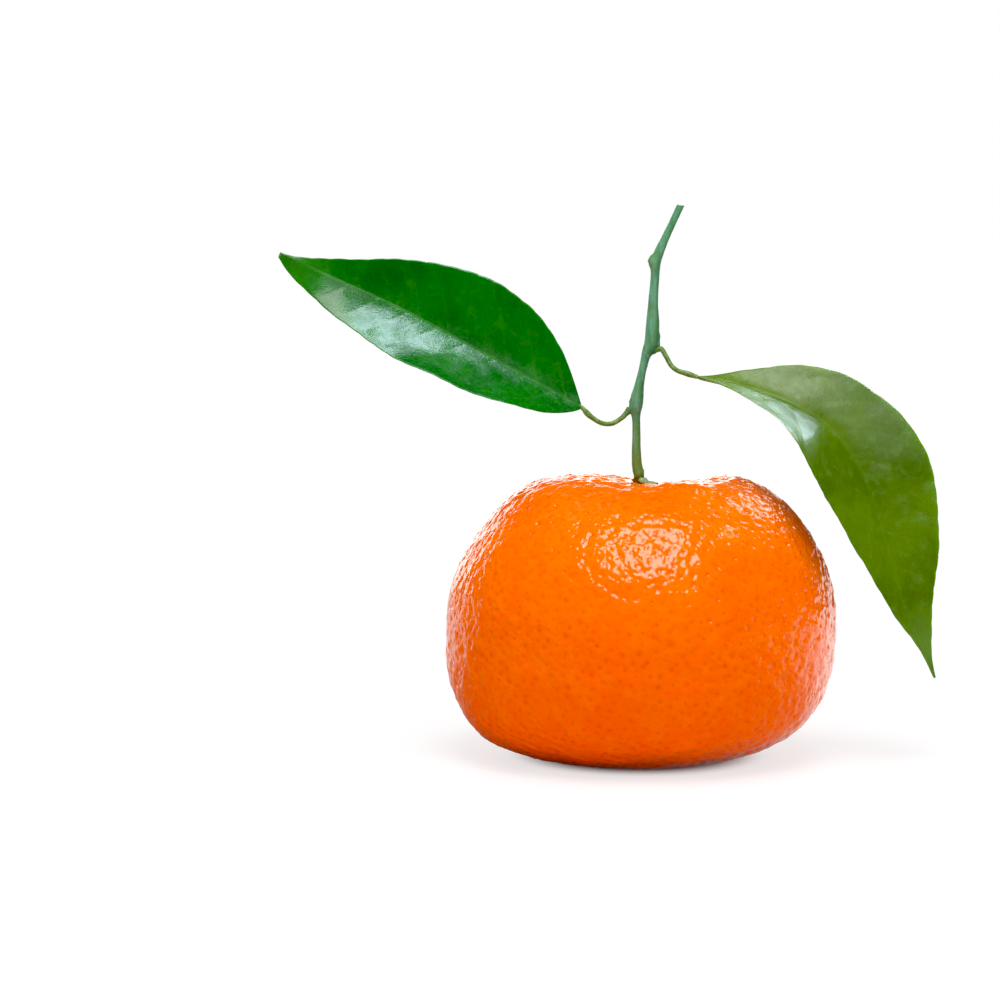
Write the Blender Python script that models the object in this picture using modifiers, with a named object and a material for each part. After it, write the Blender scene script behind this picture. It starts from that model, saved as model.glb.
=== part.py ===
"""A mandarin as picked, with its twig and two leaves, standing on the flat of its blossom end.

Run it with: blender --background --python part.py
Lengths are in metres. +Z is up, -Y is the fruit's front and +X is on the right seen from there.
The origin is the middle of the flat spot that the fruit rests on, right under its stem.

The pieces grow on each other in this order, and each starts a clearance away from the one before:
fruit, calyx, twig, petiole_left and petiole_right, leaf_left and leaf_right.
"""

import math

import bmesh
import bpy
import numpy as np
from mathutils import Vector

MM = 0.001
CLEARANCE = 0.3 * MM  # between two pieces that have grown together

# Fruit. Its rind is a superellipse turned about the stem, with a dimple on top and a flat below.
FRUIT_WIDTH = 66.0 * MM
FRUIT_DEPTH = 65.0 * MM
FRUIT_HEIGHT = 48.8 * MM  # at the stem, before the dimple is pressed in
WAIST_HEIGHT = 21.3 * MM
REST_SPOT_RADIUS = 15.0 * MM
FULLNESS_ABOVE = 2.2  # the superellipse's exponent above the waist, where 2 is an ellipse
FULLNESS_BELOW = 2.8
DIMPLE_WIDTH = 26.0 * MM
DIMPLE_LENGTH = 50.0 * MM  # front to back
DIMPLE_DEPTH = 2.8 * MM
DIMPLE_SHIFT = 3.0 * MM  # how far to the right of the stem it is deepest
LEAN = 0.022  # how far the fruit leans to the right, for each metre of height
SHOULDER_RISE = 2.4 * MM  # how much fuller the right shoulder is than the left one
SHOULDER_REACH = 23.0 * MM  # from the stem to the fullest place of that shoulder
SHOULDER_SPREAD = 8.0 * MM
SEGMENT_COUNT = 10  # the rind swells very slightly over each segment inside
SEGMENT_SWELL = 0.004  # as a share of the radius
RIND_SIDES = 60
RIND_RINGS = 34
FLAT_RINGS = 4  # those of them that lie inside the flat spot

# Calyx, the small five-lobed star where the stem enters the fruit
CALYX_RADIUS = 2.4 * MM
CALYX_THICKNESS = 0.45 * MM
CALYX_BOSS = 0.35 * MM  # how far its middle rises above its lobes
CALYX_LOBES = 5
CALYX_NOTCH = 0.22  # depth of the notches between lobes, as a share of the radius

# Twig. Its route is given from its foot, as ((x, y, z), radius) in millimetres.
TWIG_ROUTE = [
    ((-0.3, 0.0, 0.0), 0.86),
    ((-0.8, 0.0, 0.9), 0.86),
    ((-1.35, 0.0, 1.9), 0.84),
    ((-1.5, 0.0, 3.4), 0.78),
    ((-1.5, 0.1, 7.2), 0.68),
    ((-1.55, 0.1, 9.7), 0.72),
    ((-1.5, 0.0, 11.6), 1.04),
    ((-1.4, -0.1, 13.0), 1.08),
    ((-0.95, -0.1, 15.4), 0.76),
    ((-0.35, 0.0, 18.1), 0.68),
    ((0.2, 0.1, 20.4), 0.84),
    ((0.95, 0.2, 22.3), 1.14),
    ((1.2, 0.3, 24.8), 1.16),
    ((1.3, 0.3, 29.0), 0.84),
    ((1.6, 0.2, 33.1), 0.74),
    ((1.7, 0.1, 35.5), 0.86),
    ((2.3, 0.0, 37.4), 0.82),
    ((3.35, -0.1, 39.8), 0.66),
    ((4.65, -0.2, 42.6), 0.6),
    ((5.85, -0.3, 45.2), 0.6),
]
TWIG_FOOT_LENGTH = 0.3 * MM  # a short upright stretch that ends square on the calyx
TWIG_POINTS = 45
TWIG_BEVEL = 3  # gives a section of ten sides
LEAF_SCAR_RADIUS = 0.5 * MM
LEAF_SCAR_LENGTH = 1.6 * MM
LEAF_SCAR_AT = 0.775  # along the twig, where a third leaf has dropped off

# Petioles. Each leaves the twig at a share of its length and towards a side, in degrees from +X.
# A route is given from the twig's skin, in millimetres.
PETIOLE_LEFT_AT = 0.245
PETIOLE_LEFT_SIDE = 186.0
PETIOLE_LEFT_ROUTE = [
    (0.0, 0.0, 0.0),
    (-0.8, -0.2, -0.8),
    (-2.4, -0.5, -1.7),
    (-4.2, -0.7, -1.6),
    (-6.0, -0.8, -0.5),
    (-7.2, -0.9, 0.7),
]
PETIOLE_RIGHT_AT = 0.478
PETIOLE_RIGHT_SIDE = 352.0
PETIOLE_RIGHT_ROUTE = [
    (0.0, 0.0, 0.0),
    (0.6, -0.1, 0.0),
    (1.3, -0.3, -1.1),
    (2.2, -0.5, -2.7),
    (3.3, -0.7, -3.6),
    (4.9, -0.8, -4.1),
    (6.1, -0.9, -4.5),
]
PETIOLE_RADIUS = 0.43 * MM
PETIOLE_POINTS = 16
PETIOLE_FLARE = 0.22  # how much thicker it is at its ends, as a share of its radius
PETIOLE_BEVEL = 2  # gives a section of eight sides

# Leaf blades. A midrib's route and its roll are given in shares of the blade's length. The side
# is the way that the first half of the blade faces at its base, and the second half lies opposite.
LEAF_THICKNESS = 0.4 * MM
LEAF_STATIONS = 30
LEAF_STRIPS = 8
LEAF_TIP_WIDTH = 0.5 * MM
LEAF_LEFT = {
    "length": 57.5 * MM,
    "route": [
        (0.0, 0.0, 0.0),
        (-0.17, -0.015, 0.094),
        (-0.35, -0.03, 0.192),
        (-0.53, -0.045, 0.29),
        (-0.70, -0.06, 0.37),
        (-0.88, -0.07, 0.452),
    ],
    "side": (-0.35, -0.62, -0.70),
    "roll": (0.0, -11.0, -22.0),
    "halves": [
        {"width": 12.0 * MM, "base_taper": 0.75, "tip_taper": 1.1, "fold": 17.0},
        {"width": 11.5 * MM, "base_taper": 1.0, "tip_taper": 1.6, "fold": 17.0},
    ],
    "cup": 6.0,
}
LEAF_RIGHT = {
    "length": 72.0 * MM,
    "route": [
        (0.0, 0.0, 0.0),
        (0.11, -0.02, -0.027),
        (0.23, -0.05, -0.071),
        (0.31, -0.07, -0.128),
        (0.38, -0.09, -0.225),
        (0.43, -0.11, -0.375),
        (0.475, -0.13, -0.53),
        (0.545, -0.14, -0.695),
    ],
    "side": (0.0, 0.94, 0.34),
    "roll": (0.0, 30.0, 38.0),
    "halves": [
        {"width": 11.4 * MM, "base_taper": 1.2, "tip_taper": 1.4, "fold": 14.0},
        {"width": 12.2 * MM, "base_taper": 1.35, "tip_taper": 2.05, "fold": 10.0},
    ],
    "cup": 8.0,
}


def smooth_route(points, count):
    """count points at even distances along a smooth curve through the given points."""
    given = np.array(points, float)
    before = 2 * given[0] - given[1]
    after = 2 * given[-1] - given[-2]
    knots = np.vstack([before, given, after])
    share = np.linspace(0, 1, 24, endpoint=False)[:, None]
    pieces = []
    for a, b, c, d in zip(knots, knots[1:], knots[2:], knots[3:]):
        cubic = -a + 3 * b - 3 * c + d
        square = 2 * a - 5 * b + 4 * c - d
        pieces.append(b + 0.5 * ((c - a) * share + square * share**2 + cubic * share**3))
    curve = np.vstack([*pieces, given[-1:]])
    walked = np.append(0, np.cumsum(np.linalg.norm(np.diff(curve[:, :3], axis=0), axis=1)))
    even = np.linspace(0, walked[-1], count)
    return np.column_stack([np.interp(even, walked, column) for column in curve.T])


def directions(route):
    """The unit direction of a route at each of its points."""
    along = np.gradient(route, axis=0)
    return along / np.linalg.norm(along, axis=1, keepdims=True)


def new_object(name, data, material):
    """An object in the mandarin's collection, in its own material."""
    made = bpy.data.objects.new(name, data)
    made.data.materials.append(material)
    bpy.data.collections["mandarin"].objects.link(made)
    return made


def principled(name, colour, roughness):
    """A material of one colour, without metal."""
    made = bpy.data.materials.new(name)
    made.use_nodes = True
    shader = made.node_tree.nodes["Principled BSDF"]
    shader.inputs["Base Color"].default_value = (*colour, 1)
    shader.inputs["Roughness"].default_value = roughness
    shader.inputs["Metallic"].default_value = 0
    made.diffuse_color = (*colour, 1)
    return made


def crown_drop(x, y):
    """How far the dimple presses the rind down at a place near the stem."""
    share = min(1, math.hypot(2 * (x - DIMPLE_SHIFT) / DIMPLE_WIDTH, 2 * y / DIMPLE_LENGTH))
    return DIMPLE_DEPTH * (1 - share**2) ** 2


def shoulder_rise(x, y, height):
    """How far the fuller shoulder stands above a fruit that is the same on both sides."""
    across = (x - SHOULDER_REACH) / SHOULDER_SPREAD
    along = y / (1.6 * SHOULDER_SPREAD)
    share = (height - WAIST_HEIGHT) / (FRUIT_HEIGHT - WAIST_HEIGHT)
    return SHOULDER_RISE * share * math.exp(-(across**2 + along**2) / 2)


def rind_profile():
    """(share of the full radius, height) at each ring, from the stem to the middle of the flat."""
    flat_share = 2 * REST_SPOT_RADIUS / FRUIT_WIDTH
    half_below = WAIST_HEIGHT / (1 - flat_share**FULLNESS_BELOW) ** (1 / FULLNESS_BELOW)
    lean_in = math.asin(flat_share ** (FULLNESS_BELOW / 2))
    above = np.linspace(0, math.pi / 2, 1001)
    below = np.linspace(math.pi / 2, lean_in, 1001)
    share = np.append(np.sin(above) ** (2 / FULLNESS_ABOVE), np.sin(below) ** (2 / FULLNESS_BELOW))
    up = np.cos(above).clip(0) ** (2 / FULLNESS_ABOVE)
    down = np.cos(below).clip(0) ** (2 / FULLNESS_BELOW)
    rise = np.append((FRUIT_HEIGHT - WAIST_HEIGHT) * up, -half_below * down)
    walked = np.append(0, np.cumsum(np.hypot(np.diff(share * FRUIT_WIDTH / 2), np.diff(rise))))
    even = np.linspace(0, walked[-1], RIND_RINGS - FLAT_RINGS + 1)
    flat = np.linspace(flat_share, 0, FLAT_RINGS + 1)[1:]
    shares = np.append(np.interp(even, walked, share), flat)
    heights = np.append(WAIST_HEIGHT + np.interp(even, walked, rise), np.zeros(FLAT_RINGS))
    return shares, heights


def rind_point(share, height, azimuth):
    """A point of the rind, with the dimple, shoulder, lean and swells that keep it from being round."""
    swell = 1 + SEGMENT_SWELL * math.cos(SEGMENT_COUNT * azimuth) * share**2
    x = share * swell * math.cos(azimuth) * FRUIT_WIDTH / 2
    y = share * swell * math.sin(azimuth) * FRUIT_DEPTH / 2
    z = height
    if height > WAIST_HEIGHT:
        z += shoulder_rise(x, y, height) - crown_drop(x, y)
    return Vector((x + LEAN * height, y, z))


def crown_point(x, y):
    """The rind's point at a place beside the stem."""
    share = math.hypot(2 * x / FRUIT_WIDTH, 2 * y / FRUIT_DEPTH)
    up = (1 - share**FULLNESS_ABOVE) ** (1 / FULLNESS_ABOVE)
    return rind_point(share, WAIST_HEIGHT + (FRUIT_HEIGHT - WAIST_HEIGHT) * up, math.atan2(y, x))


def stem_foot():
    """The place in the dimple where the calyx sits."""
    return crown_point(0, 0)


def make_fruit(material):
    """The whole fruit: a sphere whose rings are carried to the rind's profile."""
    shape = bmesh.new()
    bmesh.ops.create_uvsphere(shape, u_segments=RIND_SIDES, v_segments=RIND_RINGS, radius=1)
    shares, heights = rind_profile()
    for vertex in shape.verts:
        x, y, z = vertex.co
        ring = round(math.acos(max(-1, min(1, z))) / math.pi * RIND_RINGS)
        vertex.co = rind_point(shares[ring], heights[ring], math.atan2(y, x))
    mesh = bpy.data.meshes.new("fruit")
    shape.to_mesh(mesh)
    shape.free()
    mesh.shade_smooth()
    return new_object("fruit", mesh, material)


def make_calyx(material):
    """A sphere pressed into a lobed button that lies on the dimple."""
    shape = bmesh.new()
    bmesh.ops.create_uvsphere(shape, u_segments=40, v_segments=12, radius=1)
    for vertex in shape.verts:
        x, y, z = vertex.co
        azimuth = math.atan2(y, x)
        lobe = 1 - CALYX_NOTCH * (0.5 - 0.5 * math.cos(CALYX_LOBES * azimuth))
        reach = math.hypot(x, y)
        x *= CALYX_RADIUS * lobe
        y *= CALYX_RADIUS * lobe
        boss = CALYX_BOSS * (1 - reach**2) ** 2
        top = (CALYX_THICKNESS + boss) * max(z, 0)
        vertex.co = crown_point(x, y) + Vector((0, 0, CLEARANCE + top))
    mesh = bpy.data.meshes.new("calyx")
    shape.to_mesh(mesh)
    shape.free()
    mesh.shade_smooth()
    return new_object("calyx", mesh, material)


def make_tube(name, route, radii, bevel, material):
    """A round tube along a route, with a radius of its own at each point."""
    curve = bpy.data.curves.new(name, "CURVE")
    curve.dimensions = "3D"
    curve.bevel_depth = 1
    curve.bevel_resolution = bevel
    curve.use_fill_caps = True
    spline = curve.splines.new("POLY")
    spline.points.add(len(route) - 1)
    for point, place, radius in zip(spline.points, route, radii):
        point.co = (*place, 1)
        point.radius = radius
    return new_object(name, curve, material)


def twig_route():
    """(points, radii) of the twig, from the top of the calyx up to its cut end."""
    given = [[value * MM for value in (*place, radius)] for place, radius in TWIG_ROUTE]
    found = smooth_route(given, TWIG_POINTS)
    foot = found[:1] - [[0, 0, TWIG_FOOT_LENGTH, 0]]
    found = np.vstack([foot, found])
    base = stem_foot() + Vector((0, 0, CALYX_THICKNESS + CALYX_BOSS + 2 * CLEARANCE))
    return found[:, :3] + np.array(base) + [0, 0, TWIG_FOOT_LENGTH], found[:, 3]


def place_on_twig(share):
    """(point, radius) at a share of the twig's length."""
    route, radii = twig_route()
    station = share * TWIG_POINTS
    x, y, z, radius = [
        np.interp(station, range(len(radii)), column) for column in (*route.T, radii)
    ]
    return np.array([x, y, z]), radius


def welded_mesh(obj):
    """Turns a curve object into a mesh object whose caps are joined to its sides."""
    bpy.context.view_layer.update()
    graph = bpy.context.evaluated_depsgraph_get()
    mesh = bpy.data.meshes.new_from_object(obj.evaluated_get(graph))
    shape = bmesh.new()
    shape.from_mesh(mesh)
    bmesh.ops.remove_doubles(shape, verts=shape.verts, dist=1e-6)
    shape.to_mesh(mesh)
    shape.free()
    name, place, material = obj.name, obj.matrix_world.copy(), obj.data.materials[0]
    bpy.data.objects.remove(obj)
    made = new_object(name, mesh, material)
    made.matrix_world = place
    return made


def make_twig(material):
    """The twig, with the scar of a dropped leaf joined to its side."""
    twig = welded_mesh(make_tube("twig", *twig_route(), TWIG_BEVEL, material))
    middle, radius = place_on_twig(LEAF_SCAR_AT)
    shape = bmesh.new()
    bmesh.ops.create_uvsphere(shape, u_segments=10, v_segments=8, radius=1)
    for vertex in shape.verts:
        vertex.co.x *= LEAF_SCAR_RADIUS
        vertex.co.y *= LEAF_SCAR_RADIUS
        vertex.co.z *= LEAF_SCAR_LENGTH / 2
    mesh = bpy.data.meshes.new("leaf_scar")
    shape.to_mesh(mesh)
    shape.free()
    scar = bpy.data.objects.new("leaf_scar", mesh)
    scar.location = Vector(middle) - Vector((radius, 0, 0))
    scar.rotation_euler = (0, math.radians(-14), 0)
    scar.hide_render = True
    scar.display_type = "WIRE"
    bpy.data.collections["cutters"].objects.link(scar)
    join = twig.modifiers.new("leaf_scar", "BOOLEAN")
    join.operation = "UNION"
    join.object = scar
    return twig


def petiole_route(at, side, steps):
    """The points of a petiole, from the twig's skin outwards."""
    middle, radius = place_on_twig(at)
    angle = math.radians(side)
    outwards = np.array([math.cos(angle), math.sin(angle), 0])
    route = smooth_route(np.array(steps) * MM, PETIOLE_POINTS)
    slant = math.acos(directions(route)[0] @ outwards)
    end_radius = PETIOLE_RADIUS * (1 + PETIOLE_FLARE)
    points, radii = twig_route()
    beside = np.abs(points[:, 2] - middle[2]) < 2 * end_radius
    skin = np.max((points[beside] - middle) @ outwards + radii[beside], initial=radius)
    return route + middle + outwards * (skin + end_radius * math.sin(slant) + CLEARANCE)


def make_petiole(name, route, material):
    """A leaf's stalk, a little thicker at both ends."""
    share = np.linspace(-1, 1, PETIOLE_POINTS)
    radii = PETIOLE_RADIUS * (1 + PETIOLE_FLARE * share**6)
    return make_tube(name, route, radii, PETIOLE_BEVEL, material)


def leaf_width_share(share, base_taper, tip_taper):
    """The blade's width at a share of its length, where its widest place is 1."""
    widest = base_taper / (base_taper + tip_taper)
    peak = widest**base_taper * (1 - widest) ** tip_taper
    return share**base_taper * (1 - share) ** tip_taper / peak


def leaf_frames(leaf, start):
    """(midrib points, sideways directions, upward directions) at each station of a blade."""
    midrib = smooth_route(np.array(leaf["route"]) * leaf["length"] + start, LEAF_STATIONS + 1)
    rolls = np.interp(np.linspace(0, 2, LEAF_STATIONS + 1), (0, 1, 2), leaf["roll"])
    side = np.array(leaf["side"], float)
    sides, ups = [], []
    for direction, roll in zip(directions(midrib), np.radians(rolls)):
        side = side - direction * (side @ direction)
        side /= np.linalg.norm(side)
        up = np.cross(direction, side)
        sides.append(side * math.cos(roll) + up * math.sin(roll))
        ups.append(up * math.cos(roll) - side * math.sin(roll))
    return midrib, np.array(sides), np.array(ups)


def make_leaf(name, leaf, petiole, material):
    """A blade: a flat grid bent along its midrib and folded up on each side of it."""
    gap = LEAF_THICKNESS / 2 + CLEARANCE
    start = petiole[-1] + directions(petiole)[-1] * gap
    midrib, sides, ups = leaf_frames(leaf, start)
    shape = bmesh.new()
    bmesh.ops.create_grid(shape, x_segments=LEAF_STATIONS, y_segments=LEAF_STRIPS, size=1)
    for vertex in shape.verts:
        station = round((vertex.co.x + 1) / 2 * LEAF_STATIONS)
        across = vertex.co.y
        half = leaf["halves"][0 if across > 0 else 1]
        width = leaf_width_share(station / LEAF_STATIONS, half["base_taper"], half["tip_taper"])
        reach = across * (width * half["width"] + LEAF_TIP_WIDTH / 2)
        lift = math.radians(half["fold"] + leaf["cup"] * abs(across))
        lifted = ups[station] * abs(reach) * math.sin(lift)
        vertex.co = midrib[station] + sides[station] * reach * math.cos(lift) + lifted
    mesh = bpy.data.meshes.new(name)
    shape.to_mesh(mesh)
    shape.free()
    mesh.shade_smooth()
    blade = new_object(name, mesh, material)
    thicken = blade.modifiers.new("thickness", "SOLIDIFY")
    thicken.thickness = LEAF_THICKNESS
    thicken.offset = 0
    thicken.use_even_offset = True
    return blade


def clear_scene():
    for obj in list(bpy.data.objects):
        bpy.data.objects.remove(obj)
    for name in ("mandarin", "cutters"):
        collection = bpy.data.collections.new(name)
        bpy.context.scene.collection.children.link(collection)


def main():
    clear_scene()
    rind = principled("rind", (0.95, 0.20, 0.004), 0.38)
    bark = principled("green_bark", (0.10, 0.24, 0.06), 0.5)
    calyx_skin = principled("calyx_skin", (0.13, 0.20, 0.06), 0.65)
    stalk = principled("stalk", (0.15, 0.28, 0.04), 0.5)
    blade_left = principled("dark_leaf", (0.015, 0.14, 0.012), 0.32)
    blade_right = principled("light_leaf", (0.075, 0.19, 0.006), 0.36)
    make_fruit(rind)
    make_calyx(calyx_skin)
    make_twig(bark)
    left = petiole_route(PETIOLE_LEFT_AT, PETIOLE_LEFT_SIDE, PETIOLE_LEFT_ROUTE)
    right = petiole_route(PETIOLE_RIGHT_AT, PETIOLE_RIGHT_SIDE, PETIOLE_RIGHT_ROUTE)
    make_petiole("petiole_left", left, stalk)
    make_petiole("petiole_right", right, stalk)
    make_leaf("leaf_left", LEAF_LEFT, left, blade_left)
    make_leaf("leaf_right", LEAF_RIGHT, right, blade_right)


main()
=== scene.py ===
"""The looks of a mandarin as picked, with its twig and two leaves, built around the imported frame.

Lengths are in millimetres until a mesh is made, and in metres in Blender. +Z is up, -Y is the
fruit's front and +X is on the right seen from there. Every piece is built from the formulas that
shaped its CAD node, with finer detail, and then settled on that node's box.
"""

import math

import bmesh
import bpy
import numpy as np
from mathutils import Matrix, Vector, noise
from mathutils.kdtree import KDTree


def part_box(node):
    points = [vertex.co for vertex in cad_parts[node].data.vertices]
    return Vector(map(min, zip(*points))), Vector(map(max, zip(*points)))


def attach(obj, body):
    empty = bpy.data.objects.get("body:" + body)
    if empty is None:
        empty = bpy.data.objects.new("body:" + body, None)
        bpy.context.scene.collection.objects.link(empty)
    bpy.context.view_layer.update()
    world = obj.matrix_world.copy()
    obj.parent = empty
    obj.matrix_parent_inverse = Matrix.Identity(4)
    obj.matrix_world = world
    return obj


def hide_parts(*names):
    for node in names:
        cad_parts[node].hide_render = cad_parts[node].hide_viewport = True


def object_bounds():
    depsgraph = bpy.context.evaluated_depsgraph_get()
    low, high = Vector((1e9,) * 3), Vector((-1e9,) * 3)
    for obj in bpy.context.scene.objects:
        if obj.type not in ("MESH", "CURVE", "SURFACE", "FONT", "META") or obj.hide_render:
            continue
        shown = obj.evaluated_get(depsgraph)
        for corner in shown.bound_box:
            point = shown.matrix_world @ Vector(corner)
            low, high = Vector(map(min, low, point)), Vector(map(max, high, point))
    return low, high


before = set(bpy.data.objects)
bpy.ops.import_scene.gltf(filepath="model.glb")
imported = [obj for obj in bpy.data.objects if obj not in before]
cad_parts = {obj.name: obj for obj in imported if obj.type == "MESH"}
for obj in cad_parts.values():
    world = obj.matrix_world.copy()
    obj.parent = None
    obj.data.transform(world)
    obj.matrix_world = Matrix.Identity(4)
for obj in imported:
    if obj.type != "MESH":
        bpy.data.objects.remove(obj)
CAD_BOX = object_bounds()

MM = 0.001
random = np.random.default_rng(20)

# Fruit, as in the CAD
FRUIT_WIDTH = 66.0
FRUIT_DEPTH = 65.0
FRUIT_HEIGHT = 48.8
WAIST_HEIGHT = 21.3
REST_SPOT_RADIUS = 15.0
FULLNESS_ABOVE = 2.2
FULLNESS_BELOW = 2.8
DIMPLE_WIDTH = 26.0
DIMPLE_LENGTH = 50.0
DIMPLE_DEPTH = 2.8
DIMPLE_SHIFT = 3.0
LEAN = 0.022
SHOULDER_RISE = 2.4
SHOULDER_REACH = 23.0
SHOULDER_SPREAD = 8.0
SEGMENT_COUNT = 10
SEGMENT_SWELL = 0.004

# Finer detail of the rind
RIND_CUTS = 119  # grid lines on each side of the cube that is rounded into the fruit
HEEL = 1.5  # how much fuller the fruit is low down on its left
LEFT_SHOULDER = 1.7  # how much fuller it is high up on its left
LEFT_CREST = 0.6  # how much flatter the crest left of the stem is
FRONT_CREST = 1.8  # how much fuller the crest in front of the dimple is
BLOSSOM_HOLLOW = 0.9  # how deep the blossom end is inside the ring that it rests on
BROAD_WAVES = ((0.20, 17, 1), (0.09, 7, 2))  # height, wavelength and seed of each
FINE_WAVES = ((0.130, 2.7, 3), (0.034, 1.4, 4))
STEM_WRINKLES = 0.20
STEM_RIBS = 0.12
STEM_MOAT = 0.10
GLAND_COUNT = 3900  # oil glands, about 1.8 apart
GLAND_SHAKE = 0.17  # how far a gland is from its place in the even spread, as a share of a step
GLAND_DEPTH = 0.090
GLAND_RADIUS = 0.40
GLAND_RIM = 0.060
BLEMISH_WAY = (0.40, -0.70, 0.60)

CALYX_RADIUS = 2.4
CALYX_THICKNESS = 0.42
CALYX_BOSS = 0.60
CALYX_CURL = 0.28  # how far the tips of its lobes lift
CALYX_RINGS = 26
CALYX_SPOKES = 120

TWIG_ROUTE = [
    ((-0.3, 0.0, 0.0), 0.86),
    ((-0.8, 0.0, 0.9), 0.86),
    ((-1.35, 0.0, 1.9), 0.84),
    ((-1.5, 0.0, 3.4), 0.78),
    ((-1.5, 0.1, 7.2), 0.68),
    ((-1.55, 0.1, 9.7), 0.72),
    ((-1.5, 0.0, 11.6), 1.04),
    ((-1.4, -0.1, 13.0), 1.08),
    ((-0.95, -0.1, 15.4), 0.76),
    ((-0.35, 0.0, 18.1), 0.68),
    ((0.2, 0.1, 20.4), 0.84),
    ((0.95, 0.2, 22.3), 1.14),
    ((1.2, 0.3, 24.8), 1.16),
    ((1.3, 0.3, 29.0), 0.84),
    ((1.6, 0.2, 33.1), 0.74),
    ((1.7, 0.1, 35.5), 0.86),
    ((2.3, 0.0, 37.4), 0.82),
    ((3.35, -0.1, 39.8), 0.66),
    ((4.65, -0.2, 42.6), 0.6),
    ((5.85, -0.3, 45.2), 0.6),
]
# Nodes and leaf scars: share of the length, way it faces in degrees from +X, height, length and
# width in radians
TWIG_SWELLINGS = [
    (0.236, 180, 0.50, 0.85, 0.75),
    (0.264, 172, 0.22, 0.45, 0.40),
    (0.476, 0, 0.62, 1.05, 0.75),
    (0.455, -5, 0.30, 0.55, 0.45),
    (0.512, 8, 0.22, 0.50, 0.40),
    (0.775, 180, 0.55, 0.65, 0.60),
    (0.770, 180, -0.16, 0.25, 0.30),
    (0.792, 172, 0.22, 0.40, 0.35),
]
FOOT_SHIFT = 0.75  # how much further left the twig stands on the calyx
FOOT_DEPTH = 0.5  # how far it reaches down into the calyx
FOOT_FLARE = 0.12
PAINTED_SHADE_WAY = -0.45  # the way that the twig's side of painted shade faces, in radians from +X
TWIG_STATIONS = 420
TWIG_SIDES = 28

PETIOLE_LEFT_ROUTE = [
    (0.0, 0.0, 0.0),
    (-0.8, -0.2, -0.8),
    (-2.4, -0.5, -1.7),
    (-4.2, -0.7, -1.6),
    (-6.0, -0.8, -0.5),
    (-7.2, -0.9, 0.7),
]
PETIOLE_RIGHT_ROUTE = [
    (0.0, 0.0, 0.0),
    (0.6, -0.1, 0.0),
    (1.3, -0.3, -1.1),
    (2.2, -0.5, -2.7),
    (3.3, -0.7, -3.6),
    (4.9, -0.8, -4.1),
    (6.1, -0.9, -4.5),
]
PETIOLE_RADIUS = 0.43
PETIOLE_FLARE = 0.22
PETIOLE_IN_TWIG = 0.9  # how far a stalk reaches into the twig
PETIOLE_IN_BLADE = 1.6
PETIOLE_STATIONS = 150
PETIOLE_SIDES = 20

# A leaf's values are as in the CAD, but for two that shape its first half: dome raises the middle
# and lowers the tip, and turned is how many degrees more the base is folded up than the tip.
LEAF_STATIONS = 250
LEAF_STRIPS = 76
LEAF_TIP_WIDTH = 0.5
MARGIN_SCALLOP = 0.09
MARGIN_WANDER = 0.20
BLADE_THICKNESS = 0.30
LEAF_LEFT = {
    "length": 57.5,
    "route": [
        (0.0, 0.0, 0.0),
        (-0.17, -0.015, 0.094),
        (-0.35, -0.03, 0.192),
        (-0.53, -0.045, 0.29),
        (-0.70, -0.06, 0.37),
        (-0.88, -0.07, 0.452),
    ],
    "side": (-0.35, -0.62, -0.70),
    "roll": (0.0, -11.0, -22.0),
    "halves": [
        {"width": 12.0, "base_taper": 0.75, "tip_taper": 1.1, "fold": 17.0},
        {"width": 11.5, "base_taper": 1.0, "tip_taper": 1.6, "fold": 17.0},
    ],
    "cup": 6.0,
    "vein_pairs": 9,
    "dome": 1.9,
    "turned": 6.5,
}
LEAF_RIGHT = {
    "length": 72.0,
    "route": [
        (0.0, 0.0, 0.0),
        (0.11, -0.02, -0.027),
        (0.23, -0.05, -0.071),
        (0.31, -0.07, -0.128),
        (0.38, -0.09, -0.225),
        (0.43, -0.11, -0.375),
        (0.475, -0.13, -0.53),
        (0.545, -0.14, -0.695),
    ],
    "side": (0.0, 0.94, 0.34),
    "roll": (0.0, 30.0, 38.0),
    "halves": [
        {"width": 11.4, "base_taper": 1.2, "tip_taper": 1.4, "fold": 14.0},
        {"width": 12.2, "base_taper": 1.35, "tip_taper": 2.05, "fold": 10.0},
    ],
    "cup": 8.0,
    "vein_pairs": 10,
    "dome": 0.0,
    "turned": 0.0,
}


# Shapes


def smooth_route(points, count):
    """count points at even distances along a smooth curve through the given points."""
    given = np.array(points, float)
    before = 2 * given[0] - given[1]
    after = 2 * given[-1] - given[-2]
    knots = np.vstack([before, given, after])
    share = np.linspace(0, 1, 24, endpoint=False)[:, None]
    pieces = []
    for a, b, c, d in zip(knots, knots[1:], knots[2:], knots[3:]):
        cubic = -a + 3 * b - 3 * c + d
        square = 2 * a - 5 * b + 4 * c - d
        pieces.append(b + 0.5 * ((c - a) * share + square * share**2 + cubic * share**3))
    curve = np.vstack([*pieces, given[-1:]])
    walked = np.append(0, np.cumsum(np.linalg.norm(np.diff(curve[:, :3], axis=0), axis=1)))
    even = np.linspace(0, walked[-1], count)
    return np.column_stack([np.interp(even, walked, column) for column in curve.T])


def directions(route):
    """The unit direction of a route at each of its points."""
    along = np.gradient(route, axis=0)
    return along / np.linalg.norm(along, axis=1, keepdims=True)


def smoothstep(low, high, value):
    """0 below low and 1 above high, with a smooth change between them."""
    share = np.clip((value - low) / (high - low), 0, 1)
    return share * share * (3 - 2 * share)


def hump(value, middle, spread):
    """A bell of height 1 around middle."""
    return np.exp(-(((value - middle) / spread) ** 2))


def ripple(points, wavelength, seed):
    """Smooth noise between about -1 and 1, with a value of its own at each point."""
    places = points * (1.6 / wavelength) + np.array([17.3, 5.1, 11.7]) * seed
    return 1.4 * np.array([noise.noise(place) for place in places.tolist()])


def turns(sides):
    """The angle of each side of a ring of points."""
    return np.arange(sides) / sides * 2 * math.pi


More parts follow.
